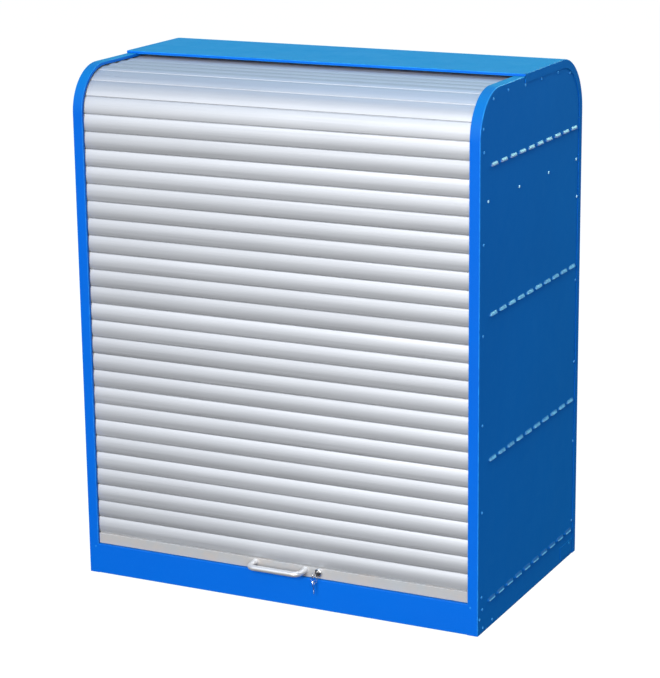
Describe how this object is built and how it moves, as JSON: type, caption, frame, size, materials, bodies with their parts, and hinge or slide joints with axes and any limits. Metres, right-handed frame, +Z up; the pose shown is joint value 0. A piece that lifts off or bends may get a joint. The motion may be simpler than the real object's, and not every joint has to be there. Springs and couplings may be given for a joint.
{
  "type": "hazardous materials cabinet",
  "caption": "Free-standing sheet-steel storage cabinet with a slatted roller shutter over a rounded top edge, a key lock, louvred sides and spill trays inside.",
  "frame": {"origin": "bottom centre of the bounding box, on the floor under the cabinet", "axes": "+Z up, front with the shutter towards -Y, +X to the right seen from the front"},
  "size_m": [1.005, 0.6468, 1.21],
  "materials": {
    "blue_paint": "semi-gloss blue powder coat",
    "grey_paint": "satin light grey powder coat",
    "slat_aluminium": "satin anodised",
    "rail_aluminium": "matt anodised",
    "track_aluminium": "mill finish",
    "handle_aluminium": "satin silver",
    "lock_chrome": "polished",
    "key_steel": "nickel plated",
    "zinc_steel": "zinc plated",
    "black_rubber": "matt",
    "black_plastic": "matt"
  },
  "bodies": {
    "cabinet": {"left_side_panel": "blue_paint", "right_side_panel": "blue_paint", "plinth_panel": "blue_paint", "top_cover": "blue_paint", "back_panel": "blue_paint", "base_pan": "grey_paint", "inner_back_panel": "grey_paint", "inner_top_panel": "grey_paint", "left_front_track": "track_aluminium", "right_front_track": "track_aluminium", "left_bend_track": "track_aluminium", "right_bend_track": "track_aluminium", "left_rear_track": "track_aluminium", "right_rear_track": "track_aluminium", "slats_bend": "slat_aluminium", "slats_top": "slat_aluminium", "tail_rail": "track_aluminium", "strike_plate": "zinc_steel", "strike_screws": "zinc_steel", "tray_lower": "grey_paint", "tray_middle": "grey_paint", "tray_upper": "grey_paint", "tray_rails": "grey_paint", "uprights": "grey_paint", "tray_brackets": "grey_paint", "track_stops": "black_rubber", "base_cross_members": "grey_paint", "corner_plates": "blue_paint", "left_rivets": "blue_paint", "right_rivets": "blue_paint", "back_screws": "zinc_steel"},
    "shutter": {"slats_front": "slat_aluminium", "end_rail": "rail_aluminium", "rail_seal": "black_rubber", "guide_shoes": "black_plastic", "bow_handle": "handle_aluminium", "handle_screws": "zinc_steel", "lock_housing": "lock_chrome", "lock_nut": "zinc_steel"},
    "lock": {"lock_plug": "lock_chrome", "lock_cam": "zinc_steel", "cam_screw": "zinc_steel", "key": "key_steel"},
    "key_ring": {"key_ring": "key_steel"},
    "spare_key": {"spare_key": "key_steel"}
  },
  "joints": [
    {"name": "shutter_lift", "type": "slide", "parent": "cabinet", "child": "shutter", "axis": [0, 0, 1], "range_m": [0, 0.99], "deforming": ["slats_front"]},
    {"name": "lock_turn", "type": "hinge", "parent": "shutter", "child": "lock", "pos_m": [0.106, -0.2874, 0.088], "axis": [0, -1, 0], "range_deg": [0, 90]},
    {"name": "ring_swing", "type": "hinge", "parent": "lock", "child": "key_ring", "pos_m": [0.106, -0.3048, 0.0864], "axis": [0, 1, 0], "range_deg": [-40, 40]},
    {"name": "spare_key_swing", "type": "hinge", "parent": "key_ring", "child": "spare_key", "pos_m": [0.106, -0.3048, 0.0704], "axis": [1, 0, 0], "range_deg": [-50, 30]}
  ]
}
